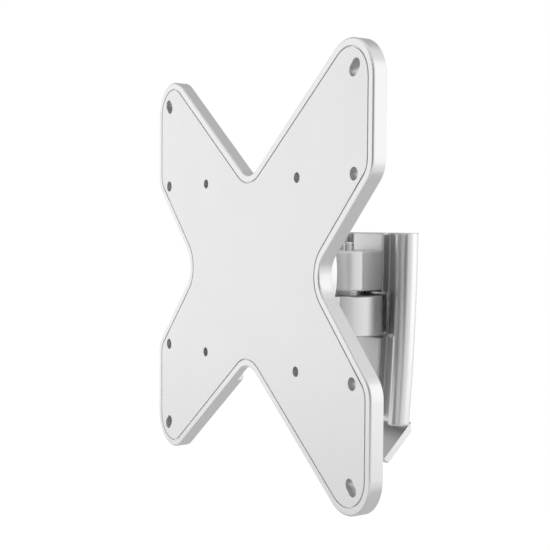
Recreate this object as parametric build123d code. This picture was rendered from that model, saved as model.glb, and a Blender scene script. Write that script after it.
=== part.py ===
from build123d import *
import math
import os

# Tilting wall bracket for a screen, in millimetres.
# X runs to the right as seen from the room, Y runs into the wall, Z is up.
# The origin lies on the wall, at the middle of the wall part's flat back.

# Driving sizes of the whole bracket
swivel_axis_out = 27.0
tilt_axis_out = 75.5
tilt_axis_behind_plate = 12.0

# Screen plate
tip_margin = 15.0
plate_thick = 8.0
tip_radius = 20.0
notch_radius = 15.0
side_vertex_x = 64.5
notch_vertex_z = 49.6
arm_slope_deg = 36.3
plate_front_round = 1.0
plate_back_bevel = 0.4
rim_width = 3.8
panel_gap = 0.8
panel_thick = 1.0
channel_half = 18.8
channel_depth = 3.75
channel_top = 17.0

# Screen hole patterns, as spacings between hole centres
wide_pitch = 200.0
narrow_pitch = 100.0
screen_hole_radius = 3.25
small_hole_radius = 2.75
corner_slot_travel = 3.0

# Wall profile: two bowed columns with a flat land between them
profile_height = 110.0
profile_rise = 1.8
column_radius = 6.6
column_taper = 0.5
column_wall = 2.2
column_x = 31.0
column_centre_out = 8.4
land_half = 14.8
land_out = 13.0
land_wall = 3.0
land_side_wall = 3.0
land_short = 2.7
web_out = 8.0
web_thick = 3.0
top_lean_deg = 0.16
bow_radius = 1400.0
cap_thick = 2.5

# Wall plate and its lip
wall_plate_thick = 4.0
wall_plate_half = 19.0
wall_hole_radius = 3.3
wall_hole_sink_radius = 6.2
wall_hole_dx = 26.0
wall_hole_dz = 84.0
lip_half = 26.4
lip_drop = 0.5
lip_out = 19.6

# Swivel joint
barrel_radius = 20.5
block_drop = 10.6
block_height = 22.8
hub_height = 23.0
neck_front_half = 19.5
neck_front_deg = 78.0
notch_clear = 2.0
notch_margin = 1.9
swivel_bolt_radius = 3.0
swivel_bolt_stand = 5.0
swivel_head_radius = 5.0
swivel_head_height = 6.0
counterbore_radius = 7.5
counterbore_depth = 10.5
bush_wall = 1.4
top_flange_thick = 1.2
low_flange_thick = 1.0
swivel_washer_thick = 2.0
swivel_washer_radius = 9.0

# Swivel arm and tilt joint
arm_rise = 14.8
eye_radius = 13.0
eye_half = 17.0
arm_root_out = 50.0
arm_pocket_depth = 5.0
arm_rim = 5.0
tilt_bolt_radius = 4.0
tilt_head_radius = 6.5
tilt_head_height = 5.0
tilt_nut_across = 13.0
tilt_nut_thick = 6.5
tilt_washer_radius = 9.0
tilt_washer_thick = 1.8
tilt_bush_length = 12.0
cheek_thick = 5.0
cheek_radius = 9.0
foot_thick = 4.0
foot_reach = 12.5
foot_half = 14.0
spring_thick = 1.5
spring_radius = 6.4

# Round tilt cover behind the plate
cover_clear = 0.5
cover_wall = 2.5
cover_slot_top = 12.5
cover_post_radius = 3.5
cover_post_inset = 5.1
cover_post_deg = 40.6

# Small screws
foot_screw_radius = 2.5
foot_screw_edge = 4.8
foot_screw_z = 10.5
foot_screw_bite = 5.0
foot_head_radius = 4.0
foot_head_height = 3.0
cover_screw_radius = 1.5
cover_screw_bite = 4.0
hinge_screw_radius = 2.5
hinge_screw_bite = 8.5
hinge_screw_dz = 11.0
hinge_head_radius = 4.4
hinge_head_height = 3.2
profile_screw_radius = 2.5
profile_screw_rise = 16.0
profile_head_radius = 4.6
profile_head_height = 2.8
hole_tip = 0.5

# Small edges and walls
barrel_bevel = 0.5
plate_corner = 3.0
channel_corner = 4.0
arm_round = 1.5
foot_corner = 3.0
bend_round = 1.5
cover_round = 1.5
post_wall = 1.6
post_skin = 0.5
neck_dip = 0.8
nut_bevel = 0.6
tilt_bolt_end = 1.5

# Clearances
running = 0.05
seat = 0.1
hang_clear = 0.3
arm_clear = 0.8
tip_clear = 0.5

# How far a cutter runs past the face it cuts, and a joining piece into its neighbour
over = 1.0
past = 20.0
deep_join = 5.0

# Places worked out from the sizes above
top_z = profile_rise + profile_height / 2
bottom_z = profile_rise - profile_height / 2
plate_width = wide_pitch + 2 * tip_margin
plate_back_out = tilt_axis_out + tilt_axis_behind_plate
plate_front_out = plate_back_out + plate_thick
block_top_z = top_z - block_drop
block_bottom_z = block_top_z - block_height
hub_top_z = block_bottom_z - swivel_washer_thick - top_flange_thick
hub_bottom_z = hub_top_z - hub_height
tilt_z = hub_top_z + arm_rise
plate_centre_z = tilt_z
land_bottom_z = bottom_z + land_short
lip_z = bottom_z - lip_drop
profile_screw_z = bottom_z + profile_screw_rise
cheek_inner = eye_half + tilt_washer_thick + 2 * running
cheek_outer = cheek_inner + cheek_thick
foot_end = cheek_outer + foot_reach
foot_screw_x = foot_end - foot_screw_edge
cover_radius = math.hypot(foot_end, foot_half) + cover_clear + cover_wall
cover_depth = tilt_axis_behind_plate + cheek_radius + cover_clear + cover_wall
cover_post_x = (cover_radius - cover_post_inset) * math.cos(math.radians(cover_post_deg))
cover_post_z = (cover_radius - cover_post_inset) * math.sin(math.radians(cover_post_deg))


def upright(radius, z_low, z_high, x=0.0, y=0.0):
    """A cylinder along Z."""
    return Pos(x, y, (z_low + z_high) / 2) * Cylinder(radius, z_high - z_low)


def across(radius, x_low, x_high, y, z):
    """A cylinder along X."""
    return Pos((x_low + x_high) / 2, y, z) * Rot(0, 90, 0) * Cylinder(radius, x_high - x_low)


def inward(radius, y_low, y_high, x, z):
    """A cylinder along Y, from the room towards the wall."""
    return Pos(x, (y_low + y_high) / 2, z) * Rot(90, 0, 0) * Cylinder(radius, y_high - y_low)


def block(x_low, x_high, y_low, y_high, z_low, z_high):
    """A box between two corners."""
    middle = Pos((x_low + x_high) / 2, (y_low + y_high) / 2, (z_low + z_high) / 2)
    return middle * Box(x_high - x_low, y_high - y_low, z_high - z_low)


def facing_room(out, x=0.0, z=0.0):
    """A drawing plane that faces the room, the given distance out from the wall."""
    return Plane(origin=(x, -out, z), x_dir=(1, 0, 0), z_dir=(0, -1, 0))


def towards(x, y, z, direction):
    """A place whose own Z runs along a direction."""
    return Location(Plane(origin=(x, y, z), z_dir=direction))


def save(shape, name):
    """Writes one piece, or one group of like pieces, to its own file."""
    export_step(shape, f"parts/{name}.step")


# Fasteners stand on their own Z axis, with the underside of the head at zero


def socket_screw(radius, length, head_radius, head_height):
    """A cap screw with a hexagon socket."""
    head = upright(head_radius, 0, head_height)
    head = chamfer(head.edges().sort_by(Axis.Z)[-1], head_height * 0.1)
    socket = extrude(Plane.XY.offset(head_height * 0.45) * RegularPolygon(head_radius * 0.55, 6), head_height)
    shank = upright(radius, -length, 0)
    shank = chamfer(shank.edges().sort_by(Axis.Z)[0], radius * 0.2)
    return head + shank - socket


def pan_screw(radius, length, head_radius, head_height):
    """A pan head screw with a cross recess."""
    head = upright(head_radius, 0, head_height)
    head = chamfer(head.edges().sort_by(Axis.Z)[-1], head_height * 0.4, head_height * 0.6)
    arm = head_radius * 1.1
    bar = radius * 0.36
    cross = block(-arm / 2, arm / 2, -bar, bar, head_height * 0.45, head_height + over)
    cross += block(-bar, bar, -arm / 2, arm / 2, head_height * 0.45, head_height + over)
    return head + upright(radius, -length, 0) - cross


def flat_screw(radius, length, head_radius):
    """A countersunk screw: its flat top lies at zero and the shank runs down."""
    sink = head_radius - radius
    head = Pos(0, 0, -sink / 2) * Cone(radius, head_radius, sink)
    cross = block(-radius, radius, -radius * 0.3, radius * 0.3, -sink * 0.5, 1)
    cross += block(-radius * 0.3, radius * 0.3, -radius, radius, -sink * 0.5, 1)
    return head + upright(radius, -length, -sink) - cross


def ring(inner, outer, thick):
    """A flat washer that stands on zero."""
    return upright(outer, 0, thick) - upright(inner, -over, thick + over)


def cupped_ring(inner, outer, thick):
    """A disc spring: a slightly coned washer that stands on zero."""
    sheet = thick * 0.6
    rise = thick - sheet
    section = Polyline((inner, rise), (outer, 0), (outer, sheet), (inner, thick), close=True)
    return revolve(Plane.XZ * make_face(section), Axis.Z)


# Screen plate


def plate_outline(grow=0.0):
    """The rounded X outline, drawn about the plate's centre."""
    half = plate_width / 2
    slope = math.tan(math.radians(arm_slope_deg))
    tip_z = notch_vertex_z + half * slope
    shoulder_z = half - side_vertex_x
    quarter = [(side_vertex_x, 0), (half, shoulder_z), (half, tip_z), (0, notch_vertex_z)]
    upper_left = [(-x, z) for x, z in reversed(quarter[:3])]
    upper = quarter + upper_left
    lower = [(x, -z) for x, z in reversed(upper[1:-1])]
    outline = make_face(Polyline(*upper, *lower, close=True))
    tips = [v for v in outline.vertices() if abs(v.Y) > tip_z - 1]
    bends = [v for v in outline.vertices() if abs(v.Y) < tip_z - 1]
    outline = fillet(tips, tip_radius)
    bends = [v for v in outline.vertices() if min(abs(v.X - b.X) + abs(v.Y - b.Y) for b in bends) < 0.01]
    outline = fillet(bends, notch_radius)
    return offset(outline, grow) if grow else outline


def screen_holes():
    """The holes of the three screen patterns, drawn about the plate's centre."""
    holes = Sketch()
    for side in (-1, 1):
        for rise in (-1, 1):
            corner = Pos(side * wide_pitch / 2, rise * wide_pitch / 2)
            slot = SlotCenterToCenter(corner_slot_travel, 2 * screen_hole_radius, rotation=45 * side * rise)
            holes += corner * slot
            holes += Pos(side * wide_pitch / 2, rise * narrow_pitch / 2) * Circle(screen_hole_radius)
            holes += Pos(side * narrow_pitch / 2, rise * narrow_pitch / 2) * Circle(small_hole_radius)
    return holes


def screen_plate():
    """The cast X plate: pocket in front, channel and blind holes behind."""
    back = facing_room(plate_back_out, z=plate_centre_z)
    front = facing_room(plate_front_out, z=plate_centre_z)
    plate = extrude(back * plate_outline(), plate_thick)
    plate = fillet(plate.faces().sort_by(Axis.Y)[0].edges(), plate_front_round)
    plate = chamfer(plate.faces().sort_by(Axis.Y)[-1].edges(), plate_back_bevel)
    plate -= extrude(front * plate_outline(-rim_width), -panel_thick)
    reach = plate_width / 2
    channel = block(
        -channel_half,
        channel_half,
        -plate_back_out - channel_depth,
        -plate_back_out + over,
        plate_centre_z - reach,
        plate_centre_z + channel_top,
    )
    plate -= fillet(channel.edges().filter_by(Axis.Y).sort_by(Axis.Z)[-2:], channel_corner)
    plate -= extrude(back * screen_holes(), plate_thick)
    for side in (-1, 1):
        for rise in (-1, 1):
            foot_hole = foot_screw_bite + hole_tip
            plate -= inward(
                foot_screw_radius + running,
                -plate_back_out - foot_hole,
                -plate_back_out,
                side * foot_screw_x,
                tilt_z + rise * foot_screw_z,
            )
            post_hole = cover_screw_bite + hole_tip
            plate -= inward(
                cover_screw_radius + running,
                -plate_back_out - post_hole,
                -plate_back_out,
                side * cover_post_x,
                tilt_z + rise * cover_post_z,
            )
    return plate


def front_panel():
    """The thin sheet laid in the plate's pocket, flush with the rim."""
    floor = facing_room(plate_front_out - panel_thick, z=plate_centre_z)
    panel = extrude(floor * plate_outline(-rim_width - panel_gap), panel_thick)
    return panel - extrude(floor * screen_holes(), panel_thick)


# Wall profile


def bow(z):
    """How far the bowed front has come out from its top, at a height."""
    lean = math.sin(math.radians(top_lean_deg))
    here = math.asin(lean + (top_z - z) / bow_radius)
    return bow_radius * (math.cos(math.radians(top_lean_deg)) - math.cos(here))


def bow_line(out, z_low, z_high):
    """The bowed line in the side view, given its distance out at the top."""
    middle = (z_low + z_high) / 2
    points = [(-out - bow(z), z) for z in (z_high, middle, z_low)]
    return ThreePointArc(*points)


def bowed_slab(out, back_out, x_low, x_high, z_low, z_high):
    """A slab with a bowed front and a flat upright back."""
    front = bow_line(out, z_low, z_high)
    back = Polyline(front @ 1, (-back_out, z_low), (-back_out, z_high), front @ 0)
    side = make_face(Curve() + [front, back])
    return extrude(Plane.YZ.offset(x_low) * side, x_high - x_low)


def bowed_sheet(out, thick, half, z_low, z_high):
    """A sheet of even thickness that follows the bow."""
    front = bow_line(out, z_low, z_high)
    back = bow_line(out - thick, z_low, z_high)
    side = make_face(Curve() + [front, Line(front @ 1, back @ 1), back, Line(back @ 0, front @ 0)])
    return extrude(Plane.YZ * side, half, both=True)


def bowed_column(radius, x, z_low, z_high):
    """A round column along the bow, slimmer at the foot and cut level at both ends."""
    rings = []
    for z in (z_high, (z_low + z_high) / 2, z_low):
        slim = column_taper * (top_z - z) / profile_height
        centre = Plane(origin=(x, -column_centre_out - bow(z), z), z_dir=(0, 0, 1))
        rings.append(centre * Circle(radius - slim))
    return loft(rings)


def wall_profile():
    """The bowed casting that hangs on the wall plate and carries the hinge block."""
    roof = top_z - cap_thick
    web_back = web_out - web_thick
    join_x = column_x - column_radius / 2
    body = bowed_sheet(web_out, web_thick, column_x, land_bottom_z, top_z)
    body += bowed_sheet(land_out, land_out - web_back, land_half, land_bottom_z, top_z)
    body += bowed_slab(web_out, 0, -join_x, join_x, roof, top_z)
    for side in (-1, 1):
        body += bowed_column(column_radius, side * column_x, bottom_z, top_z)
    for side in (-1, 1):
        body -= bowed_column(column_radius - column_wall, side * column_x, bottom_z - over, roof)
    cavity_half = land_half - land_side_wall
    cavity_depth = land_out - web_back
    cavity = bowed_sheet(land_out - land_wall, cavity_depth, cavity_half, land_bottom_z + land_wall, roof)
    body -= cavity
    body += screw_post()
    body -= hub_notch()
    for z in hinge_screw_heights():
        body -= inward(hinge_screw_radius + seat, -land_out - past, -web_back, 0, z)
    head_seat = profile_head_seat()
    body -= inward(profile_screw_radius + seat, -land_out - past, 0, 0, profile_screw_z)
    body -= inward(profile_head_radius + hang_clear, -land_out - past, -head_seat, 0, profile_screw_z)
    return body


def screw_post():
    """The post behind the land that the lower fixing screw passes through."""
    post = inward(profile_head_radius + post_wall, -land_out - past, -wall_plate_thick, 0, profile_screw_z)
    return post & bowed_slab(land_out, 0, -land_half, land_half, bottom_z, top_z)


def hub_notch():
    """The rounded clearance that the turning hub sweeps in the profile."""
    low = hub_bottom_z - notch_margin
    high = hub_top_z + notch_margin
    cutter = upright(barrel_radius + notch_clear, low, high, 0, -swivel_axis_out)
    return fillet(cutter.edges().filter_by(GeomType.CIRCLE), notch_margin)


def hinge_screw_heights():
    """The two heights of the screws that hold the hinge block."""
    middle = (block_top_z + block_bottom_z) / 2
    return (middle - hinge_screw_dz / 2, middle + hinge_screw_dz / 2)


def land_back_out(z):
    """How far out the back of the land's wall is, at a height."""
    return land_out - land_wall + bow(z)


def profile_head_seat():
    """How far out the lower fixing screw's head is seated."""
    return land_out + bow(profile_screw_z) - profile_head_height


def hinge_block():
    """The upper barrel and its neck, seated on the land."""
    barrel = upright(barrel_radius, block_bottom_z, block_top_z, 0, -swivel_axis_out)
    barrel = chamfer(barrel.edges().filter_by(GeomType.CIRCLE), barrel_bevel)
    front_y = -swivel_axis_out - barrel_radius * math.cos(math.radians(neck_front_deg))
    back_y = -land_out + deep_join
    middle = ((neck_front_half + land_half) / 2 - neck_dip, (front_y - land_out) / 2)
    right = ThreePointArc((neck_front_half, front_y), middle, (land_half, -land_out))
    left = ThreePointArc((-land_half, -land_out), (-middle[0], middle[1]), (-neck_front_half, front_y))
    behind = Polyline(right @ 1, (land_half, back_y), (-land_half, back_y), left @ 0)
    front = Line(left @ 1, right @ 0)
    neck = extrude(Plane.XY.offset(block_bottom_z) * make_face(Curve() + [right, behind, left, front]), block_height)
    wide = 2 * barrel_radius
    room_side = block(-wide, wide, front_y - wide, front_y, block_bottom_z, block_top_z)
    shape = (barrel & room_side) + neck
    shape -= bowed_slab(land_out, 0, -wide, wide, bottom_z, top_z)
    shape -= upright(swivel_bolt_radius + running, block_bottom_z - over, block_top_z + over, 0, -swivel_axis_out)
    for z in hinge_screw_heights():
        deep = land_back_out(z) + land_wall + hinge_screw_bite + hole_tip
        shape -= inward(hinge_screw_radius + running, -deep, 0, 0, z)
    return shape


def wall_plate():
    """The steel plate that is screwed to the wall, with its lip bent out at the foot."""
    plate_top = top_z - cap_thick
    thick = wall_plate_thick
    plate = block(-wall_plate_half, wall_plate_half, -thick, 0, lip_z - thick / 2, plate_top)
    plate = chamfer(plate.edges().filter_by(Axis.Y).sort_by(Axis.Z)[-2:], plate_corner)
    deep = thick * math.sqrt(2)
    end = thick / math.sqrt(2)
    section = Polyline(
        (0, lip_z),
        (-lip_out, lip_z - lip_out),
        (-lip_out + end, lip_z - lip_out - end),
        (0, lip_z - deep),
        close=True,
    )
    plate += extrude(Plane.YZ * make_face(section), lip_half, both=True)
    sink = wall_hole_sink_radius - wall_hole_radius
    for x in (-wall_hole_dx / 2, wall_hole_dx / 2):
        for z in (-wall_hole_dz / 2, wall_hole_dz / 2):
            plate -= inward(wall_hole_radius, -thick - over, over, x, z)
            cone = Cone(wall_hole_radius, wall_hole_sink_radius, sink)
            plate -= towards(x, -thick + sink / 2, z, (0, -1, 0)) * cone
    plate -= inward(profile_screw_radius + running, -thick - over, over, 0, profile_screw_z)
    return plate


# Swivel arm


def arm_side():
    """The arm's side view between the hub and the tilt eye."""
    eye = Pos(-tilt_axis_out, tilt_z) * Circle(eye_radius)
    root = Line((-arm_root_out, hub_bottom_z), (-arm_root_out, hub_top_z))
    return make_hull(eye.edges() + [root])


def swivel_arm():
    """The lower barrel, the rising arm and the tilt eye, cast in one."""
    hub = upright(barrel_radius, hub_bottom_z, hub_top_z, 0, -swivel_axis_out)
    hub = chamfer(hub.edges().filter_by(GeomType.CIRCLE), barrel_bevel)
    arm = extrude(Plane.YZ * arm_side(), eye_half, both=True)
    arm = fillet(arm.faces().filter_by(Axis.X).edges(), arm_round)
    root = block(-eye_half, eye_half, -arm_root_out, -swivel_axis_out - barrel_radius / 2, hub_bottom_z, hub_top_z)
    shape = hub + root + arm
    pocket = offset(arm_side(), -arm_rim) - Pos(-tilt_axis_out, tilt_z) * Circle(eye_radius)
    for side in (-1, 1):
        floor = Plane.YZ.offset(side * (eye_half - arm_pocket_depth))
        shape -= extrude(floor * pocket, side * (arm_pocket_depth + over))
    bore = swivel_bolt_radius + running + bush_wall + running
    shape -= upright(bore, hub_bottom_z - over, hub_top_z + over, 0, -swivel_axis_out)
    shape -= upright(counterbore_radius, hub_bottom_z - over, hub_bottom_z + counterbore_depth, 0, -swivel_axis_out)
    eye_bore = tilt_bolt_radius + running + bush_wall + running
    shape -= across(eye_bore, -eye_half - over, eye_half + over, -tilt_axis_out, tilt_z)
    return shape


def swivel_bushes():
    """Two flanged bushes pressed into the hub from above and from below."""
    inner = swivel_bolt_radius + running
    outer = inner + bush_wall
    floor = hub_bottom_z + counterbore_depth
    middle = (floor + hub_top_z) / 2
    at = Pos(0, -swivel_axis_out, 0)
    upper = upright(outer, middle + seat, hub_top_z)
    upper += upright(swivel_washer_radius, hub_top_z, hub_top_z + top_flange_thick)
    upper -= upright(inner, middle - over, hub_top_z + top_flange_thick + over)
    lower = upright(outer, floor, middle - seat)
    lower += upright(counterbore_radius - seat, floor - low_flange_thick, floor)
    lower -= upright(inner, floor - low_flange_thick - over, middle + over)
    return Compound([at * upper, at * lower])


def swivel_head_seat():
    """The height of the underside of the swivel bolt's head."""
    return hub_bottom_z + counterbore_depth - low_flange_thick - 2 * spring_thick


def swivel_bolt():
    """The long bolt from under the hub, screwed through the hinge block."""
    length = block_top_z + swivel_bolt_stand - swivel_head_seat()
    bolt = socket_screw(swivel_bolt_radius, length, swivel_head_radius, swivel_head_height)
    return Pos(0, -swivel_axis_out, swivel_head_seat()) * Rot(180, 0, 0) * bolt


def swivel_springs():
    """Two disc springs, set back to back under the bolt's head."""
    spring = cupped_ring(swivel_bolt_radius + seat, counterbore_radius - 0.5, spring_thick)
    at = Pos(0, -swivel_axis_out, swivel_head_seat() + spring_thick)
    return Compound([at * spring, at * Rot(180, 0, 0) * spring])


def swivel_washer():
    """The sliding washer between the two barrels."""
    washer = ring(swivel_bolt_radius + seat, swivel_washer_radius, swivel_washer_thick)
    return Pos(0, -swivel_axis_out, hub_top_z + top_flange_thick) * washer


# Tilt joint


def tilt_bushes():
    """Two plain bushes pressed into the ends of the eye."""
    inner = tilt_bolt_radius + running
    outer = inner + bush_wall
    bushes = []
    for side in (-1, 1):
        low, high = sorted((side * eye_half, side * (eye_half - tilt_bush_length)))
        bush = across(outer, low, high, -tilt_axis_out, tilt_z)
        bushes.append(bush - across(inner, low - over, high + over, -tilt_axis_out, tilt_z))
    return Compound(bushes)


def tilt_washers():
    """Two friction washers between the eye and the cheeks."""
    washer = ring(tilt_bolt_radius + seat, tilt_washer_radius, tilt_washer_thick)
    start = eye_half + running
    right = towards(start, -tilt_axis_out, tilt_z, (1, 0, 0)) * washer
    left = towards(-start, -tilt_axis_out, tilt_z, (-1, 0, 0)) * washer
    return Compound([right, left])


def tilt_cheek(side):
    """One angle bracket: a foot screwed to the plate and an ear for the tilt bolt."""
    ear_end = Pos(-tilt_axis_out, tilt_z) * Circle(cheek_radius)
    ear_root = Line((-plate_back_out, tilt_z - foot_half + over), (-plate_back_out, tilt_z + foot_half - over))
    ear = extrude(Plane.YZ.offset(cheek_inner) * make_hull(ear_end.edges() + [ear_root]), cheek_thick)
    foot_y = -plate_back_out + foot_thick
    foot = block(cheek_inner, foot_end, -plate_back_out, foot_y, tilt_z - foot_half, tilt_z + foot_half)
    foot = fillet(foot.edges().filter_by(Axis.Y).sort_by(Axis.X)[-2:], foot_corner)
    cheek = ear + foot
    bend = cheek.edges().filter_by(Axis.Z).filter_by(
        lambda e: abs(e.center().X - cheek_outer) < 0.01 and abs(e.center().Y - foot_y) < 0.01
    )
    cheek = fillet(bend, bend_round)
    cheek -= across(tilt_bolt_radius + running, 0, cheek_outer + over, -tilt_axis_out, tilt_z)
    for rise in (-1, 1):
        z = tilt_z + rise * foot_screw_z
        cheek -= inward(foot_screw_radius + seat, -plate_back_out - over, foot_y + over, foot_screw_x, z)
    return cheek if side > 0 else mirror(cheek, Plane.YZ)


def foot_screws():
    """Four screws that hold the cheeks to the plate."""
    screw = pan_screw(foot_screw_radius, foot_thick + foot_screw_bite, foot_head_radius, foot_head_height)
    screws = []
    for side in (-1, 1):
        for rise in (-1, 1):
            place = (side * foot_screw_x, -plate_back_out + foot_thick, tilt_z + rise * foot_screw_z)
            screws.append(towards(*place, (0, 1, 0)) * screw)
    return Compound(screws)


def tilt_bolt():
    """The tilt axle, with its socket head on the right."""
    grip = cheek_outer + spring_thick
    length = 2 * grip + tilt_nut_thick + tilt_bolt_end
    bolt = socket_screw(tilt_bolt_radius, length, tilt_head_radius, tilt_head_height)
    return towards(grip, -tilt_axis_out, tilt_z, (1, 0, 0)) * bolt


def tilt_nut():
    """The lock nut on the tilt axle."""
    nut = extrude(RegularPolygon(tilt_nut_across / 2, 6, major_radius=False), tilt_nut_thick)
    nut -= upright(tilt_bolt_radius + running, -over, tilt_nut_thick + over)
    corner = tilt_nut_across / math.sqrt(3)
    body = upright(corner, 0, tilt_nut_thick)
    nut = nut & chamfer(body.edges().filter_by(GeomType.CIRCLE), nut_bevel)
    return towards(-cheek_outer - spring_thick, -tilt_axis_out, tilt_z, (-1, 0, 0)) * nut


def tilt_springs():
    """One disc spring under the head and one under the nut."""
    spring = cupped_ring(tilt_bolt_radius + seat, spring_radius, spring_thick)
    right = towards(cheek_outer, -tilt_axis_out, tilt_z, (1, 0, 0)) * spring
    left = towards(-cheek_outer, -tilt_axis_out, tilt_z, (-1, 0, 0)) * spring
    return Compound([right, left])


def tilt_cover():
    """The round cover over the tilt joint, slotted for the arm."""
    rear = -plate_back_out + cover_depth
    cover = inward(cover_radius, -plate_back_out, rear, 0, tilt_z)
    cover = fillet(cover.edges().filter_by(GeomType.CIRCLE).sort_by(Axis.Y)[-1], cover_round)
    cover -= inward(cover_radius - cover_wall, -plate_back_out - over, rear - cover_wall, 0, tilt_z)
    inside = inward(cover_radius - post_skin, -plate_back_out, rear - post_skin, 0, tilt_z)
    for side in (-1, 1):
        for rise in (-1, 1):
            x = side * cover_post_x
            z = tilt_z + rise * cover_post_z
            cover += inward(cover_post_radius, -plate_back_out, rear - post_skin, x, z) & inside
    slot_half = eye_half + arm_clear
    low = tilt_z - cover_radius
    rim_z = tilt_z - math.sqrt((cover_radius - cover_wall) ** 2 - slot_half**2)
    rim_slot = block(-slot_half, slot_half, -plate_back_out - over, rear + over, low - over, rim_z)
    back_slot = block(-slot_half, slot_half, rear - cover_wall - over, rear + over, low, tilt_z + cover_slot_top)
    cover -= rim_slot + back_slot
    for side in (-1, 1):
        for rise in (-1, 1):
            x = side * cover_post_x
            z = tilt_z + rise * cover_post_z
            cover -= inward(cover_screw_radius + seat, -plate_back_out - over, rear + over, x, z)
            sink = cover_screw_radius + seat
            cone = Cone(sink, 2 * sink, sink)
            cover -= towards(x, rear - sink / 2, z, (0, 1, 0)) * cone
    return cover


def cover_screws():
    """Four long countersunk screws through the cover's posts."""
    screw = flat_screw(cover_screw_radius, cover_depth + cover_screw_bite, 2 * cover_screw_radius)
    rear = -plate_back_out + cover_depth
    screws = []
    for side in (-1, 1):
        for rise in (-1, 1):
            screws.append(towards(side * cover_post_x, rear, tilt_z + rise * cover_post_z, (0, 1, 0)) * screw)
    return Compound(screws)


def hinge_screws():
    """Two screws from behind the land into the hinge block."""
    screws = []
    for z in hinge_screw_heights():
        length = land_wall + hinge_screw_bite
        screw = pan_screw(hinge_screw_radius, length, hinge_head_radius, hinge_head_height)
        seat_out = land_back_out(z + hinge_head_radius)
        screws.append(towards(0, -seat_out, z, (0, 1, 0)) * screw)
    return Compound(screws)


def profile_screw():
    """The screw that locks the profile to the wall plate."""
    out = profile_head_seat()
    screw = pan_screw(profile_screw_radius, out - tip_clear, profile_head_radius, profile_head_height)
    return towards(0, -out, profile_screw_z, (0, -1, 0)) * screw


os.makedirs("parts", exist_ok=True)

pieces = {
    "wall_plate": wall_plate,
    "wall_profile": wall_profile,
    "profile_screw": profile_screw,
    "hinge_block": hinge_block,
    "hinge_screws": hinge_screws,
    "swivel_bolt": swivel_bolt,
    "swivel_springs": swivel_springs,
    "swivel_washer": swivel_washer,
    "swivel_bushes": swivel_bushes,
    "swivel_arm": swivel_arm,
    "tilt_bushes": tilt_bushes,
    "tilt_washers": tilt_washers,
    "tilt_cheek_right": lambda: tilt_cheek(1),
    "tilt_cheek_left": lambda: tilt_cheek(-1),
    "foot_screws": foot_screws,
    "tilt_bolt": tilt_bolt,
    "tilt_nut": tilt_nut,
    "tilt_springs": tilt_springs,
    "tilt_cover": tilt_cover,
    "cover_screws": cover_screws,
    "screen_plate": screen_plate,
    "front_panel": front_panel,
}
for name, make in pieces.items():
    save(make(), name)
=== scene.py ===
"""The looks of the tilting wall bracket: finishes for its pieces, fine threads, light and camera."""

import math

import bpy
from bpy.props import FloatProperty, FloatVectorProperty, IntProperty, PointerProperty
from mathutils import Matrix, Vector


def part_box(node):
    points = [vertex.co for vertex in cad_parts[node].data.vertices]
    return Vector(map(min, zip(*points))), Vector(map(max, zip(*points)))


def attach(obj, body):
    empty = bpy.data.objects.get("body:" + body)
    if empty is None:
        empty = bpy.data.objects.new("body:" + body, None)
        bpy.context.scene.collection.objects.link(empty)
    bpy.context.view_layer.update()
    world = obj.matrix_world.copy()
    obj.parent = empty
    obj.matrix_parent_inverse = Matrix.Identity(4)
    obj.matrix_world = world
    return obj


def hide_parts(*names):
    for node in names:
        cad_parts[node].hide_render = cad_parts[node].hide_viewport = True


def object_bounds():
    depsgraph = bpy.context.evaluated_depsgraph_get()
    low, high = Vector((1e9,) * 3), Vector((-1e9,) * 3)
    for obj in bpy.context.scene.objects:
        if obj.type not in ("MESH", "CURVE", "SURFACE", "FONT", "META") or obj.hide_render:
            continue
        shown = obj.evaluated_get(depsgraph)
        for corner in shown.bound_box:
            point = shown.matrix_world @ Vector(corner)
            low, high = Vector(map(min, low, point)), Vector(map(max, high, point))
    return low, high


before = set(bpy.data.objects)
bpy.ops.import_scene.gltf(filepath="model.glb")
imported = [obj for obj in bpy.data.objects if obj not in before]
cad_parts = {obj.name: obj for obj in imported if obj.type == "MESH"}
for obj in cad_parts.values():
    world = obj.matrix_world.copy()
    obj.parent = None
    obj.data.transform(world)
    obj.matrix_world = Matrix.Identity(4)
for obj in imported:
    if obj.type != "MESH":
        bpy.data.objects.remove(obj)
cad_low, cad_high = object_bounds()

bl_info = {
    "name": "Tilting Wall Bracket",
    "version": (1, 0, 0),
    "blender": (4, 5, 0),
    "location": "3D View > Sidebar > Bracket",
    "description": "Finishes, threads and studio for a tilting screen wall bracket",
    "category": "Object",
}


def colour(name, description, value):
    """A colour property with no alpha."""
    return FloatVectorProperty(
        name=name, description=description, subtype="COLOR", size=3, min=0, max=1, default=value
    )


def length(name, description, value):
    """A length property in metres."""
    return FloatProperty(name=name, description=description, unit="LENGTH", min=0, default=value, precision=5)


def share(name, description, value):
    """A share from 0 to 1."""
    return FloatProperty(name=name, description=description, subtype="FACTOR", min=0, max=1, default=value)


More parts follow.
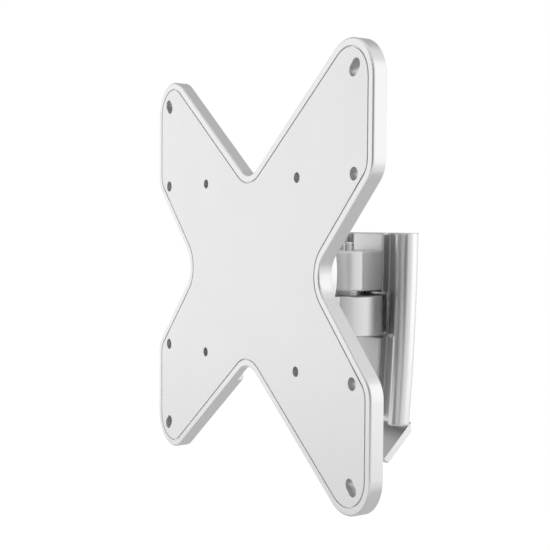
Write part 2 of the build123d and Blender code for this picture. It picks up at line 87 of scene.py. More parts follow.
class BracketFinish(bpy.types.PropertyGroup):
    """Colours and texture sizes of the bracket's finishes."""

    plate: colour("Plate", "Pale silver coat of the screen plate", (0.775, 0.775, 0.775))
    panel: colour("Panel", "Coat of the inlaid front sheet", (0.83, 0.83, 0.83))
    cast: colour("Profile", "Satin aluminium of the bowed profile", (0.70, 0.70, 0.70))
    hinge: colour("Barrels", "Satin aluminium of the barrels and arm", (0.78, 0.78, 0.78))
    lip: colour("Wall plate", "Coat of the wall plate", (0.74, 0.74, 0.745))
    cover: colour("Cover", "Moulded tilt cover", (0.95, 0.95, 0.95))
    steel: colour("Steel", "Zinc plated steel", (0.62, 0.63, 0.64))
    spring: colour("Springs", "Dark oiled spring steel", (0.16, 0.16, 0.165))
    nylon: colour("Nylon", "Grey sliding washers and bushes", (0.42, 0.42, 0.425))
    # The bore colour is painted shade for the walls of the plate's screen holes.
    bore_shade_tint: colour("Bores", "Bare metal inside the plate's holes", (0.55, 0.55, 0.555))
    cast_grain: length("Blast grain", "Size of the grain on blasted metal", 0.0005)
    coat_grain: length("Coat grain", "Size of the grain in the coat", 0.0008)
    edge: length("Edge", "Rounding that the light shows on sharp edges", 0.0004)
    sheet_edge: length("Sheet edge", "Rounding that the light shows on the front sheet's cut edge", 0.0001)
    fillet: length("Fillet", "Rounding that the light shows on the cast profile and its barrel", 0.0022)
    wear: share("Edge wear", "How much lighter worn edges are", 0.25)


class BracketThread(bpy.types.PropertyGroup):
    """Sizes of the cut threads."""

    pitch: length("Pitch", "Rise of one turn", 0.0010)
    shank: length("Shank", "Radius of the bolt's plain shank", 0.003)
    height: length("Height", "How far the crest stands off the shank", 0.00022)
    steps: IntProperty(name="Steps", description="Steps in one turn", default=36, min=12, max=96)


class BracketArm(bpy.types.PropertyGroup):
    """Sizes of the arm's narrowed root."""

    root: length("Root", "Half width of the arm where it leaves the hub", 0.012)
    skin: length("Skin", "What stays outside the hub's surface", 0.00001)
    facets: IntProperty(name="Facets", description="Facets round the hub", default=160, min=32, max=256)


class BracketStage(bpy.types.PropertyGroup):
    """Camera, lamps and floor."""

    lens: FloatProperty(name="Lens", description="Focal length in millimetres", default=69.23, min=10, max=300)
    eye: FloatVectorProperty(
        name="Camera", description="Place of the camera", subtype="XYZ", unit="LENGTH", size=3,
        default=(0.50874, -0.38788, 0.05908), precision=5,
    )
    azimuth: FloatProperty(
        name="Azimuth", description="Turn of the camera about Z", subtype="ANGLE", default=math.radians(58.629)
    )
    elevation: FloatProperty(
        name="Elevation", description="How far the camera looks down", subtype="ANGLE", default=math.radians(2.538)
    )
    roll: FloatProperty(
        name="Roll", description="Roll of the camera", subtype="ANGLE", default=math.radians(0.336)
    )
    ambient: FloatProperty(name="Ambient", description="Soft light from all round", default=0.62, min=0, max=3)
    floor_drop: length("Floor", "How far the floor lies under the part", 0.30)
    floor: colour("Floor colour", "Plain pale floor", (0.86, 0.86, 0.86))
    floor_white: share("Floor white", "How far the floor is drawn to white where it is seen", 0.85)
    floor_glow: FloatProperty(name="Floor glow", description="Strength of that white", default=1.09, min=0, max=3)


# Lamps: name, direction from the part, distance, size, level
LAMPS = (
    ("SideLamp", (0.6, 0.8, 0.15), 1.6, 2.0, 0.28),
    ("FrontLamp", (-0.8, -0.6, 0.25), 1.6, 1.6, 0.12),
)

# Grey cards: name, azimuth and elevation in degrees, distance, width, height, level
CARDS = (
    ("FrontCard", 20, 0, 1.4, 2.75, 2.4, 0.14),
    ("SideCard", -122, 42, 1.2, 2.3, 1.3, 0.42),
    ("LowCard", 90, -89, 0.34, 0.9, 0.9, 0.55),
)

# Screen hole centres in one quarter of the plate, across and up from its middle
SCREEN_HOLES = ((0.1, 0.1), (0.1, 0.05), (0.05, 0.05))


# Shader node groups


def new_group(name, inputs, outputs):
    """An empty shader group with float, colour or vector sockets."""
    kinds = {"value": "NodeSocketFloat", "colour": "NodeSocketColor", "vector": "NodeSocketVector"}
    group = bpy.data.node_groups.new(name, "ShaderNodeTree")
    for label, kind, start in inputs:
        socket = group.interface.new_socket(name=label, in_out="INPUT", socket_type=kinds[kind])
        if start is not None:
            socket.default_value = start
    for label, kind in outputs:
        group.interface.new_socket(name=label, in_out="OUTPUT", socket_type=kinds[kind])
    return group, group.nodes.new("NodeGroupInput"), group.nodes.new("NodeGroupOutput")


def blend_colours(tree, mode="MIX"):
    """A colour mix node with its sockets as a tuple: factor, first, second, result."""
    node = tree.nodes.new("ShaderNodeMix")
    node.data_type = "RGBA"
    node.blend_type = mode
    return node.inputs[0], node.inputs[6], node.inputs[7], node.outputs[2]


def arithmetic(tree, operation, first=None, second=None):
    """A math node, linked or set on each side."""
    node = tree.nodes.new("ShaderNodeMath")
    node.operation = operation
    for socket, value in zip(node.inputs, (first, second)):
        if isinstance(value, (int, float)):
            socket.default_value = value
        elif value is not None:
            tree.links.new(value, socket)
    return node.outputs[0]


def from_origin(tree, first, second):
    """How far a point is from the origin, from its two coordinates."""
    squares = [arithmetic(tree, "MULTIPLY", value, value) for value in (first, second)]
    return arithmetic(tree, "SQRT", arithmetic(tree, "ADD", *squares))


def blasted_group():
    """Fine even grain: a coat's speckle or a blasted casting, from the piece's own coordinates."""
    inputs = [
        ("Colour", "colour", (0.8, 0.8, 0.8, 1)),
        ("Size", "value", 0.0006),
        ("Speckle", "value", 0.04),
        ("Roughness", "value", 0.45),
        ("Spread", "value", 0.06),
    ]
    outputs = [("Colour", "colour"), ("Roughness", "value"), ("Height", "value")]
    tree, given, made = new_group("BlastedGrain", inputs, outputs)
    link = tree.links.new
    place = tree.nodes.new("ShaderNodeTexCoord").outputs["Object"]
    scale = arithmetic(tree, "DIVIDE", 1.0, given.outputs["Size"])
    fine = tree.nodes.new("ShaderNodeTexNoise")
    fine.inputs["Detail"].default_value = 3
    fine.inputs["Roughness"].default_value = 0.6
    link(place, fine.inputs["Vector"])
    link(scale, fine.inputs["Scale"])
    cloud = tree.nodes.new("ShaderNodeTexNoise")
    cloud.inputs["Scale"].default_value = 28
    cloud.inputs["Detail"].default_value = 2
    link(place, cloud.inputs["Vector"])
    centred = arithmetic(tree, "SUBTRACT", fine.outputs["Fac"], 0.5)
    drift = arithmetic(tree, "MULTIPLY", arithmetic(tree, "SUBTRACT", cloud.outputs["Fac"], 0.5), 0.4)
    change = arithmetic(tree, "MULTIPLY", arithmetic(tree, "ADD", centred, drift), given.outputs["Speckle"])
    level = arithmetic(tree, "ADD", arithmetic(tree, "MULTIPLY", change, 2.0), 1.0)
    factor, first, second, result = blend_colours(tree, "MULTIPLY")
    factor.default_value = 1
    link(given.outputs["Colour"], first)
    link(level, second)
    link(result, made.inputs["Colour"])
    rough = arithmetic(tree, "MULTIPLY", centred, given.outputs["Spread"])
    link(arithmetic(tree, "ADD", given.outputs["Roughness"], rough), made.inputs["Roughness"])
    link(fine.outputs["Fac"], made.inputs["Height"])
    return tree


def turned_group():
    """Fine lines left by turning round an upright axis through Centre, and a rougher cast part past Seam."""
    inputs = [
        ("Colour", "colour", (0.7, 0.7, 0.7, 1)),
        ("Centre", "vector", (0, 0, 0)),
        ("Lines", "value", 2200.0),
        ("Contrast", "value", 0.06),
        ("Roughness", "value", 0.35),
        ("Seam", "value", -0.0043),
        ("Cast", "value", 0.6),
    ]
    outputs = [("Colour", "colour"), ("Roughness", "value"), ("Height", "value")]
    tree, given, made = new_group("TurnedLines", inputs, outputs)
    link = tree.links.new
    place = tree.nodes.new("ShaderNodeTexCoord").outputs["Object"]
    shift = tree.nodes.new("ShaderNodeVectorMath")
    shift.operation = "SUBTRACT"
    link(place, shift.inputs[0])
    link(given.outputs["Centre"], shift.inputs[1])
    parts = tree.nodes.new("ShaderNodeSeparateXYZ")
    link(shift.outputs[0], parts.inputs[0])
    across = from_origin(tree, parts.outputs[0], parts.outputs[1])
    along = arithmetic(tree, "ADD", across, arithmetic(tree, "MULTIPLY", parts.outputs[2], 1.3))
    lines = tree.nodes.new("ShaderNodeTexNoise")
    lines.noise_dimensions = "1D"
    lines.inputs["Detail"].default_value = 4
    link(along, lines.inputs["W"])
    link(given.outputs["Lines"], lines.inputs["Scale"])
    centred = arithmetic(tree, "SUBTRACT", lines.outputs["Fac"], 0.5)
    change = arithmetic(tree, "MULTIPLY", centred, given.outputs["Contrast"])
    level = arithmetic(tree, "ADD", arithmetic(tree, "MULTIPLY", change, 2.0), 1.0)
    factor, first, second, result = blend_colours(tree, "MULTIPLY")
    factor.default_value = 1
    link(given.outputs["Colour"], first)
    link(level, second)
    link(result, made.inputs["Colour"])
    behind = arithmetic(tree, "GREATER_THAN", parts.outputs[1], given.outputs["Seam"])
    more = arithmetic(tree, "SUBTRACT", given.outputs["Cast"], given.outputs["Roughness"])
    base = arithmetic(tree, "ADD", given.outputs["Roughness"], arithmetic(tree, "MULTIPLY", behind, more))
    link(arithmetic(tree, "ADD", base, change), made.inputs["Roughness"])
    link(lines.outputs["Fac"], made.inputs["Height"])
    return tree


def edge_group():
    """Soft worn edges: a rounded normal, and a lighter colour where the surface turns."""
    inputs = [
        ("Colour", "colour", (0.7, 0.7, 0.7, 1)),
        ("Worn", "colour", (0.9, 0.9, 0.9, 1)),
        ("Wear", "value", 0.3),
        ("Radius", "value", 0.0004),
        ("Height", "value", 0.5),
        ("Depth", "value", 0.00002),
    ]
    tree, given, made = new_group("WornEdges", inputs, [("Colour", "colour"), ("Normal", "vector")])
    link = tree.links.new
    bevel = tree.nodes.new("ShaderNodeBevel")
    bevel.samples = 6
    link(given.outputs["Radius"], bevel.inputs["Radius"])
    facing = tree.nodes.new("ShaderNodeNewGeometry").outputs["True Normal"]
    turn = tree.nodes.new("ShaderNodeVectorMath")
    turn.operation = "DOT_PRODUCT"
    link(bevel.outputs[0], turn.inputs[0])
    link(facing, turn.inputs[1])
    apart = arithmetic(tree, "SUBTRACT", 1.0, turn.outputs["Value"])
    mask = arithmetic(tree, "MINIMUM", arithmetic(tree, "MULTIPLY", apart, 5.0), 1.0)
    patches = tree.nodes.new("ShaderNodeTexNoise")
    patches.inputs["Scale"].default_value = 160
    link(tree.nodes.new("ShaderNodeTexCoord").outputs["Object"], patches.inputs["Vector"])
    broken = arithmetic(tree, "MULTIPLY", mask, patches.outputs["Fac"])
    amount = arithmetic(tree, "MULTIPLY", broken, given.outputs["Wear"])
    factor, first, second, result = blend_colours(tree)
    link(amount, factor)
    link(given.outputs["Colour"], first)
    link(given.outputs["Worn"], second)
    link(result, made.inputs["Colour"])
    bump = tree.nodes.new("ShaderNodeBump")
    bump.inputs["Strength"].default_value = 1
    link(given.outputs["Depth"], bump.inputs["Distance"])
    link(given.outputs["Height"], bump.inputs["Height"])
    link(bevel.outputs[0], bump.inputs["Normal"])
    link(bump.outputs[0], made.inputs["Normal"])
    return tree


def bore_shade_group():
    """Painted shade: a darker colour on the walls of the screen holes, mirrored about the plate's middle."""
    inputs = [
        ("Colour", "colour", (0.8, 0.8, 0.8, 1)),
        ("Bare", "colour", (0.3, 0.3, 0.3, 1)),
        ("Middle", "vector", (0, 0, 0)),
        ("Reach", "value", 0.008),
    ]
    tree, given, made = new_group("BareBores", inputs, [("Colour", "colour")])
    link = tree.links.new
    shift = tree.nodes.new("ShaderNodeVectorMath")
    shift.operation = "SUBTRACT"
    link(tree.nodes.new("ShaderNodeTexCoord").outputs["Object"], shift.inputs[0])
    link(given.outputs["Middle"], shift.inputs[1])
    folded = tree.nodes.new("ShaderNodeVectorMath")
    folded.operation = "ABSOLUTE"
    link(shift.outputs[0], folded.inputs[0])
    parts = tree.nodes.new("ShaderNodeSeparateXYZ")
    link(folded.outputs[0], parts.inputs[0])
    nearest = None
    for across, upward in SCREEN_HOLES:
        side = arithmetic(tree, "SUBTRACT", parts.outputs[0], across)
        high = arithmetic(tree, "SUBTRACT", parts.outputs[2], upward)
        apart = from_origin(tree, side, high)
        nearest = apart if nearest is None else arithmetic(tree, "MINIMUM", nearest, apart)
    close = arithmetic(tree, "LESS_THAN", nearest, given.outputs["Reach"])
    facing = tree.nodes.new("ShaderNodeSeparateXYZ")
    link(tree.nodes.new("ShaderNodeNewGeometry").outputs["True Normal"], facing.inputs[0])
    sideways = arithmetic(tree, "LESS_THAN", arithmetic(tree, "ABSOLUTE", facing.outputs[1]), 0.6)
    mask = arithmetic(tree, "MULTIPLY", close, sideways)
    # Mixes the painted bore shade in where the hole-wall mask holds.
    factor, first, second, result = blend_colours(tree)
    link(mask, factor)
    link(given.outputs["Colour"], first)
    link(given.outputs["Bare"], second)
    link(result, made.inputs["Colour"])
    return tree


def shared_group(name, make):
    """A node group by name, made once."""
    return bpy.data.node_groups.get(name) or make()


def place_group(tree, group, **values):
    """A group node with its own values."""
    node = tree.nodes.new("ShaderNodeGroup")
    node.node_tree = group
    for label, value in values.items():
        node.inputs[label].default_value = value
    return node


# Materials


def paint_bore_shade(material, bore_shade, middle):
    """Paints shade on the walls of the screen holes, as a darker colour."""
    tree = material.node_tree
    shader = tree.nodes["Principled BSDF"]
    worn = shader.inputs["Base Color"].links[0].from_socket
    bores = place_group(tree, shared_group("BareBores", bore_shade_group), Bare=(*bore_shade, 1), Middle=middle)
    tree.links.new(worn, bores.inputs["Colour"])
    tree.links.new(bores.outputs["Colour"], shader.inputs["Base Color"])


def finish(name, tint, metallic, roughness, grain, speckle, depth, edge, wear, turned=None):
    """A material: grain, or turned lines round the place given as turned, worn edges and one shader."""
    material = bpy.data.materials.new(name)
    material.use_nodes = True
    tree = material.node_tree
    shader = tree.nodes["Principled BSDF"]
    rgba = (*tint, 1)
    if turned is None:
        group = shared_group("BlastedGrain", blasted_group)
        surface = place_group(tree, group, Colour=rgba, Size=grain, Speckle=speckle, Roughness=roughness)
    else:
        group = shared_group("TurnedLines", turned_group)
        surface = place_group(
            tree, group, Colour=rgba, Centre=turned, Lines=1 / grain, Contrast=speckle, Roughness=roughness
        )
    worn = [min(1.0, channel * 1.25 + 0.04) for channel in tint]
    edges = place_group(
        tree, shared_group("WornEdges", edge_group), Worn=(*worn, 1), Wear=wear, Radius=edge, Depth=depth
    )
    link = tree.links.new
    link(surface.outputs["Colour"], edges.inputs["Colour"])
    link(surface.outputs["Height"], edges.inputs["Height"])
    link(edges.outputs["Colour"], shader.inputs["Base Color"])
    link(surface.outputs["Roughness"], shader.inputs["Roughness"])
    link(edges.outputs["Normal"], shader.inputs["Normal"])
    shader.inputs["Metallic"].default_value = metallic
    return material


def paint_hollow_shade(material, reach, amount, back_only=False):
    """Paints shade into the base colour where other pieces stand close, from an ambient occlusion node; with
    back_only, only on the faces on the wall's side.
    """
    tree = material.node_tree
    shader = tree.nodes["Principled BSDF"]
    # The colour so far: grain, worn edges and, on the plate, the painted bore shade.
    worn = shader.inputs["Base Color"].links[0].from_socket
    hollow_shade = tree.nodes.new("ShaderNodeAmbientOcclusion")
    hollow_shade.samples = 8
    hollow_shade.inputs["Distance"].default_value = reach
    open_share = arithmetic(tree, "POWER", hollow_shade.outputs["AO"], amount)
    if back_only:
        facing = tree.nodes.new("ShaderNodeSeparateXYZ")
        tree.links.new(tree.nodes.new("ShaderNodeNewGeometry").outputs["True Normal"], facing.inputs[0])
        front = arithmetic(tree, "LESS_THAN", facing.outputs[1], 0.5)
        open_share = arithmetic(tree, "MAXIMUM", open_share, front)
    factor, first, second, result = blend_colours(tree, "MULTIPLY")
    factor.default_value = 1
    tree.links.new(worn, first)
    tree.links.new(open_share, second)
    tree.links.new(result, shader.inputs["Base Color"])


def dress(material, *nodes):
    """Gives CAD nodes one material."""
    for name in nodes:
        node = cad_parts[name]
        node.data.materials.clear()
        node.data.materials.append(material)


# Pieces


def alone(obj):
    """Makes one object the only one selected, and active."""
    bpy.ops.object.select_all(action="DESELECT")
    obj.select_set(True)
    bpy.context.view_layer.objects.active = obj


class BRACKET_OT_plate(bpy.types.Operator):
    """Finishes the screen plate and its inlaid sheet, with painted shade in the holes and on the plate's back"""

    bl_idname = "bracket.plate"
    bl_label = "Screen Plate"

    def execute(self, context):
        look = context.scene.bracket_finish
        grain = look.coat_grain
        plate = finish(
            "PlateCoat", look.plate, metallic=0.6, roughness=0.30, grain=grain,
            speckle=0.035, depth=0.000008, edge=look.edge, wear=look.wear,
        )
        panel = finish(
            "PanelCoat", look.panel, metallic=0.5, roughness=0.40, grain=grain,
            speckle=0.05, depth=0.000012, edge=look.sheet_edge, wear=look.wear,
        )
        low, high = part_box("screen_plate")
        middle = (low + high) / 2
        # Painted shade inside the screen holes of the plate and the sheet.
        for material in (plate, panel):
            paint_bore_shade(material, look.bore_shade_tint, (middle.x, middle.y, middle.z))
        # Painted shade on the plate's back, where the hub, arm and cover stand close.
        paint_hollow_shade(plate, 0.1, 0.9, back_only=True)
        dress(plate, "screen_plate")
        dress(panel, "front_panel")
        return {"FINISHED"}


class BRACKET_OT_castings(bpy.types.Operator):
    """Finishes the bowed profile, the barrels and the arm, with painted shade in the profile's hollows"""

    bl_idname = "bracket.castings"
    bl_label = "Castings"

    def execute(self, context):
        look = context.scene.bracket_finish
        tint, grain = look.hinge, look.cast_grain
        profile = finish(
            "ProfileMetal", look.cast, metallic=0.9, roughness=0.30, grain=grain,
            speckle=0.05, depth=0.000008, edge=look.fillet, wear=look.wear,
        )
        arm = finish(
            "ArmMetal", tint, metallic=0.7, roughness=0.44, grain=grain,
            speckle=0.05, depth=0.00001, edge=look.edge, wear=look.wear,
        )
        low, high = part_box("swivel_bolt")
        axis = ((low.x + high.x) / 2, (low.y + high.y) / 2, 0)
        barrel = finish(
            "BarrelMetal", tint, metallic=0.7, roughness=0.32, grain=grain,
            speckle=0.02, depth=0.000003, edge=look.fillet, wear=look.wear, turned=axis,
        )
        # Painted shade in the profile's hollows: beside the columns, under the hub and behind the plate.
        paint_hollow_shade(profile, 0.09, 0.26)
        dress(profile, "wall_profile")
        dress(arm, "swivel_arm")
        dress(barrel, "hinge_block")
        return {"FINISHED"}


class BRACKET_OT_wall_plate(bpy.types.Operator):
    """Finishes the wall plate and its lip"""

    bl_idname = "bracket.wall_plate"
    bl_label = "Wall Plate"

    def execute(self, context):
        look = context.scene.bracket_finish
        coat = finish(
            "LipCoat", look.lip, metallic=0.8, roughness=0.36, grain=look.coat_grain,
            speckle=0.05, depth=0.000003, edge=look.edge, wear=look.wear,
        )
        dress(coat, "wall_plate")
        return {"FINISHED"}


class BRACKET_OT_cover(bpy.types.Operator):
    """Finishes the round tilt cover, with painted shade on its back"""

    bl_idname = "bracket.cover"
    bl_label = "Tilt Cover"

    def execute(self, context):
        look = context.scene.bracket_finish
        moulded = finish(
            "CoverMoulding", look.cover, metallic=0.5, roughness=0.40, grain=look.coat_grain,
            speckle=0.03, depth=0.00001, edge=look.edge, wear=0.1,
        )
        # Painted shade on the cover's back.
        paint_hollow_shade(moulded, 0.1, 0.9, back_only=True)
        dress(moulded, "tilt_cover")
        return {"FINISHED"}


class BRACKET_OT_fasteners(bpy.types.Operator):
    """Finishes screws, bolts, nut, cheeks, springs, washers and bushes"""

    bl_idname = "bracket.fasteners"
    bl_label = "Fasteners"

    def execute(self, context):
        look = context.scene.bracket_finish
        grain = look.cast_grain
        steel = finish(
            "ZincSteel", look.steel, metallic=1.0, roughness=0.30, grain=grain,
            speckle=0.06, depth=0.000005, edge=look.edge, wear=look.wear,
        )
        bolt = finish(
            "BoltSteel", look.steel, metallic=1.0, roughness=0.24, grain=grain,
            speckle=0.05, depth=0.000003, edge=look.edge, wear=look.wear,
        )
        cheek = finish(
            "CheekSteel", look.steel, metallic=1.0, roughness=0.34, grain=grain,
            speckle=0.08, depth=0.000006, edge=look.edge, wear=look.wear,
        )
        spring = finish(
            "SpringSteel", look.spring, metallic=0.9, roughness=0.38, grain=grain,
            speckle=0.08, depth=0.000004, edge=look.edge, wear=look.wear,
        )
        nylon = finish(
            "DarkNylon", look.nylon, metallic=0.0, roughness=0.40, grain=grain,
            speckle=0.10, depth=0.000006, edge=look.edge, wear=0.1,
        )
        dress(steel, "profile_screw", "hinge_screws", "foot_screws", "tilt_nut", "cover_screws")
        dress(bolt, "swivel_bolt", "tilt_bolt")
        dress(cheek, "tilt_cheek_right", "tilt_cheek_left")
        dress(spring, "swivel_springs", "tilt_springs")
        dress(nylon, "tilt_washers", "tilt_bushes")
        dress(cheek, "swivel_washer", "swivel_bushes")
        return {"FINISHED"}


def thread_ridge(thread, start, turns):
    """One ridge wound round Z, closed at both ends."""
    half = thread.pitch * 0.42
    bpy.ops.object.select_all(action="DESELECT")
    bpy.ops.mesh.primitive_circle_add(
        vertices=3, radius=thread.pitch * 0.38, fill_type="NGON", location=(0, 0, 0), rotation=(math.pi / 2, 0, 0)
    )
    ridge = bpy.context.object
    bpy.ops.object.transform_apply(location=True, rotation=True, scale=True)
    corners = [
        (thread.shank + thread.height, 0, start),
        (thread.shank - thread.height, 0, start + half),
        (thread.shank - thread.height, 0, start - half),
    ]
    for vertex, corner in zip(ridge.data.vertices, corners):
        vertex.co = corner
    screw = ridge.modifiers.new("Wind", "SCREW")
    screw.angle = 2 * math.pi * turns
    screw.screw_offset = thread.pitch * turns
    screw.steps = thread.steps * turns
    screw.render_steps = thread.steps * turns
    screw.use_merge_vertices = False
    bpy.ops.object.modifier_apply(modifier="Wind")
    alone(ridge)
    bpy.ops.object.mode_set(mode="EDIT")
    bpy.ops.mesh.select_all(action="SELECT")
    bpy.ops.mesh.remove_doubles(threshold=0.000001)
    bpy.ops.mesh.select_all(action="DESELECT")
    bpy.ops.mesh.select_non_manifold()
    bpy.ops.mesh.fill_holes(sides=3)
    bpy.ops.mesh.select_all(action="SELECT")
    bpy.ops.mesh.normals_make_consistent(inside=False)
    bpy.ops.object.mode_set(mode="OBJECT")
    bpy.ops.object.shade_smooth_by_angle(angle=math.radians(40))
    return ridge


class BRACKET_OT_threads(bpy.types.Operator):
    """Cuts the thread on the swivel bolt's free end"""

    bl_idname = "bracket.threads"
    bl_label = "Threads"

    def execute(self, context):
        thread = context.scene.bracket_thread
        low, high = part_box("swivel_bolt")
        block_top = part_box("hinge_block")[1].z
        axis = Vector(((low.x + high.x) / 2, (low.y + high.y) / 2, 0))
        ends = thread.pitch * 0.6
        start = block_top + ends
        turns = int((high.z - ends - start) / thread.pitch)
        ridge = thread_ridge(thread, start, turns)
        ridge.data.transform(Matrix.Translation(axis))
        ridge.name = "swivel_bolt_thread"
        ridge.data.materials.append(bpy.data.materials["BoltSteel"])
        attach(ridge, "wall")
        return {"FINISHED"}


def cut_away(piece, tool):
    """Takes one closed mesh out of another for good."""
    alone(piece)
    boolean = piece.modifiers.new("Cut", "BOOLEAN")
    boolean.operation = "DIFFERENCE"
    boolean.solver = "EXACT"
    boolean.object = tool
    bpy.ops.object.modifier_apply(modifier="Cut")
    bpy.data.objects.remove(tool)


def root_cutter(shape, side):
    """The wedge beside the arm's root, hollowed to leave the hub round."""
    low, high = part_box("swivel_arm")
    bolt_low, bolt_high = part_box("swivel_bolt")
    hub = high.x + shape.skin
    axis_y = (bolt_low.y + bolt_high.y) / 2
    start_y = axis_y - hub * 0.4
    end_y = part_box("tilt_cover")[1].y
    end_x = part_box("tilt_bushes")[1].x
    outer_x = end_x + hub * 0.02
    spare = hub * 0.1
    bpy.ops.object.select_all(action="DESELECT")
    bpy.ops.mesh.primitive_cube_add(size=1)
    wedge = bpy.context.object
    for vertex in wedge.data.vertices:
        near, inner, lower = vertex.co.y > 0, vertex.co.x < 0, vertex.co.z < 0
        x = (shape.root if near else end_x) if inner else outer_x
        z = low.z - spare if lower else high.z + spare
        vertex.co = (side * x, start_y if near else end_y, z)
    bpy.ops.object.mode_set(mode="EDIT")
    bpy.ops.mesh.select_all(action="SELECT")
    bpy.ops.mesh.normals_make_consistent(inside=False)
    bpy.ops.object.mode_set(mode="OBJECT")
    bpy.ops.object.select_all(action="DESELECT")
    bpy.ops.mesh.primitive_cylinder_add(vertices=shape.facets, radius=hub, depth=2, location=(0, axis_y, 0))
    bpy.ops.object.transform_apply(location=True, rotation=True, scale=True)
    cut_away(wedge, bpy.context.object)
    return wedge


class BRACKET_OT_arm(bpy.types.Operator):
    """Narrows the swivel arm's root, so that the hub shows as a full round barrel"""

    bl_idname = "bracket.arm"
    bl_label = "Swivel Arm"

    def execute(self, context):
        shape = context.scene.bracket_arm
        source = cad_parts["swivel_arm"]
        arm = bpy.data.objects.new("slim_swivel_arm", source.data.copy())
        context.scene.collection.objects.link(arm)
        alone(arm)
        bpy.ops.object.mode_set(mode="EDIT")
        bpy.ops.mesh.select_all(action="SELECT")
        bpy.ops.mesh.remove_doubles(threshold=0.0000005)
        bpy.ops.object.mode_set(mode="OBJECT")
        for side in (-1, 1):
            cut_away(arm, root_cutter(shape, side))
        alone(arm)
        bpy.ops.object.mode_set(mode="EDIT")
        bpy.ops.mesh.select_all(action="SELECT")
        bpy.ops.mesh.remove_doubles(threshold=shape.skin * 2.5)
        bpy.ops.object.mode_set(mode="OBJECT")
        bpy.ops.object.shade_smooth_by_angle(angle=math.radians(30))
        weighted = arm.modifiers.new("Even", "WEIGHTED_NORMAL")
        weighted.keep_sharp = True
        bpy.ops.object.modifier_apply(modifier="Even")
        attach(arm, "arm")
        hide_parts("swivel_arm")
        return {"FINISHED"}


# Stage


def shown_white(tree):
    """1 for camera, glossy and transmission rays, and 0 for the rest."""
    path = tree.nodes.new("ShaderNodeLightPath")
    seen = arithmetic(tree, "MAXIMUM", path.outputs["Is Camera Ray"], path.outputs["Is Glossy Ray"])
    return arithmetic(tree, "MAXIMUM", seen, path.outputs["Is Transmission Ray"])


def make_world(stage):
    """Soft light from all round, and a white background."""
    world = bpy.data.worlds.new("Studio")
    bpy.context.scene.world = world
    world.use_nodes = True
    tree = world.node_tree
    light = tree.nodes["Background"]
    light.inputs["Color"].default_value = (1, 1, 1, 1)
    light.inputs["Strength"].default_value = stage.ambient
    white = tree.nodes.new("ShaderNodeBackground")
    white.inputs["Color"].default_value = (1, 1, 1, 1)
    white.inputs["Strength"].default_value = 1
    either = tree.nodes.new("ShaderNodeMixShader")
    tree.links.new(shown_white(tree), either.inputs[0])
    tree.links.new(light.outputs[0], either.inputs[1])
    tree.links.new(white.outputs[0], either.inputs[2])
    tree.links.new(either.outputs[0], tree.nodes["World Output"].inputs["Surface"])


def make_floor(stage):
    """A plain pale floor, far enough below to stay out of the way."""
    bpy.ops.object.select_all(action="DESELECT")
    bpy.ops.mesh.primitive_plane_add(size=30, location=(0, 0, cad_low.z - stage.floor_drop))
    floor = bpy.context.object
    floor.name = "Floor"
    material = bpy.data.materials.new("PaleFloor")
    material.use_nodes = True
    tree = material.node_tree
    shader = tree.nodes["Principled BSDF"]
    shader.inputs["Base Color"].default_value = (*stage.floor, 1)
    shader.inputs["Roughness"].default_value = 0.9
    shader.inputs["Specular IOR Level"].default_value = 0
    glow = tree.nodes.new("ShaderNodeEmission")
    glow.inputs["Strength"].default_value = stage.floor_glow
    either = tree.nodes.new("ShaderNodeMixShader")
    tree.links.new(arithmetic(tree, "MULTIPLY", shown_white(tree), stage.floor_white), either.inputs[0])
    tree.links.new(shader.outputs[0], either.inputs[1])
    tree.links.new(glow.outputs[0], either.inputs[2])
    tree.links.new(either.outputs[0], tree.nodes["Material Output"].inputs["Surface"])
    floor.data.materials.append(material)


def make_lamp(name, direction, distance, size, level):
    """A square soft lamp that lights a facing surface with the given level."""
    data = bpy.data.lights.new(name, "AREA")
    data.shape = "SQUARE"
    data.size = size
    data.energy = level * (math.pi * distance) ** 2
    lamp = bpy.data.objects.new(name, data)
    bpy.context.scene.collection.objects.link(lamp)
    aim = (cad_low + cad_high) / 2
    out = Vector(direction).normalized()
    lamp.location = aim + out * distance
    lamp.rotation_euler = out.to_track_quat("Z", "Y").to_euler()


def make_card(name, azimuth, elevation, distance, width, height, level):
    """A grey card that only reflections show."""
    bpy.ops.object.select_all(action="DESELECT")
    turn, lift = math.radians(azimuth), math.radians(elevation)
    out = Vector((math.sin(turn) * math.cos(lift), -math.cos(turn) * math.cos(lift), math.sin(lift)))
    aim = (cad_low + cad_high) / 2
    bpy.ops.mesh.primitive_plane_add(
        size=1, location=aim + out * distance, rotation=out.to_track_quat("Z", "Y").to_euler()
    )
    card = bpy.context.object
    card.name = name
    card.scale = (width, height, 1)
    bpy.ops.object.transform_apply(location=False, rotation=False, scale=True)
    material = bpy.data.materials.new(name)
    material.use_nodes = True
    tree = material.node_tree
    shade = tree.nodes.new("ShaderNodeEmission")
    shade.inputs["Strength"].default_value = level
    tree.links.new(shade.outputs[0], tree.nodes["Material Output"].inputs["Surface"])
    card.data.materials.append(material)
    card.visible_camera = False
    card.visible_diffuse = False
    card.visible_shadow = False


def make_camera(stage):
    """The camera at the photograph's place, turn and lens."""
    data = bpy.data.cameras.new("Camera")
    data.lens = stage.lens
    data.sensor_width = 36
    data.clip_start = 0.01
    data.clip_end = 50
    camera = bpy.data.objects.new("Camera", data)
    bpy.context.scene.collection.objects.link(camera)
    turn, drop = stage.azimuth, stage.elevation
    ahead = Vector((-math.sin(turn) * math.cos(drop), math.cos(turn) * math.cos(drop), -math.sin(drop)))
    right = Vector((math.cos(turn), math.sin(turn), 0))
    above = right.cross(ahead)
    level = Matrix((right, above, -ahead)).transposed().to_4x4()
    camera.matrix_world = Matrix.Translation(stage.eye) @ level @ Matrix.Rotation(stage.roll, 4, "Z")
    bpy.context.scene.camera = camera


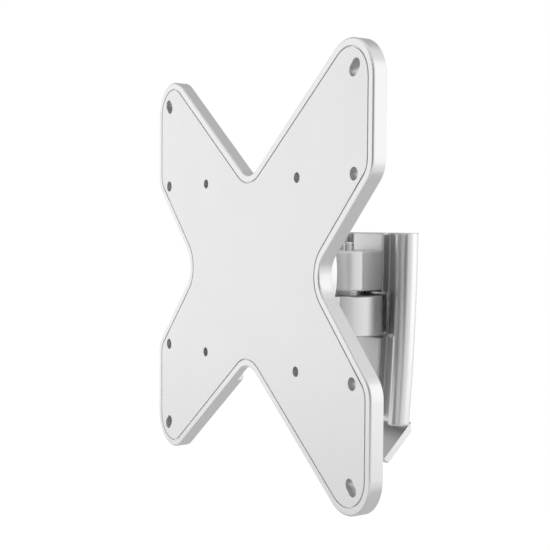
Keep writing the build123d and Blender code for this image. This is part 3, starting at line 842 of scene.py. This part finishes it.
class BRACKET_OT_stage(bpy.types.Operator):
    """Sets up the floor, lamps, background and camera"""

    bl_idname = "bracket.stage"
    bl_label = "Stage"

    def execute(self, context):
        stage = context.scene.bracket_stage
        make_world(stage)
        make_floor(stage)
        for lamp in LAMPS:
            make_lamp(*lamp)
        for card in CARDS:
            make_card(*card)
        make_camera(stage)
        context.scene.view_settings.view_transform = "Standard"
        return {"FINISHED"}


class BRACKET_PT_panel(bpy.types.Panel):
    """Lists the bracket's settings and steps"""

    bl_idname = "BRACKET_PT_panel"
    bl_label = "Wall Bracket"
    bl_space_type = "VIEW_3D"
    bl_region_type = "UI"
    bl_category = "Bracket"

    def draw(self, context):
        layout = self.layout
        scene = context.scene
        for group in (scene.bracket_finish, scene.bracket_thread, scene.bracket_arm, scene.bracket_stage):
            box = layout.box()
            for key in group.__annotations__:
                box.prop(group, key)
        for step in STEPS:
            layout.operator(step.bl_idname)


STEPS = (
    BRACKET_OT_plate,
    BRACKET_OT_castings,
    BRACKET_OT_arm,
    BRACKET_OT_wall_plate,
    BRACKET_OT_cover,
    BRACKET_OT_fasteners,
    BRACKET_OT_threads,
    BRACKET_OT_stage,
)
CLASSES = (BracketFinish, BracketThread, BracketArm, BracketStage, *STEPS, BRACKET_PT_panel)


def register():
    for cls in CLASSES:
        bpy.utils.register_class(cls)
    bpy.types.Scene.bracket_finish = PointerProperty(type=BracketFinish)
    bpy.types.Scene.bracket_thread = PointerProperty(type=BracketThread)
    bpy.types.Scene.bracket_arm = PointerProperty(type=BracketArm)
    bpy.types.Scene.bracket_stage = PointerProperty(type=BracketStage)


def unregister():
    del bpy.types.Scene.bracket_stage
    del bpy.types.Scene.bracket_arm
    del bpy.types.Scene.bracket_thread
    del bpy.types.Scene.bracket_finish
    for cls in reversed(CLASSES):
        bpy.utils.unregister_class(cls)


def main():
    """Runs every step in order."""
    register()
    bpy.ops.bracket.plate()
    bpy.ops.bracket.castings()
    bpy.ops.bracket.arm()
    bpy.ops.bracket.wall_plate()
    bpy.ops.bracket.cover()
    bpy.ops.bracket.fasteners()
    bpy.ops.bracket.threads()
    bpy.ops.bracket.stage()


if __name__ == "__main__":
    main()
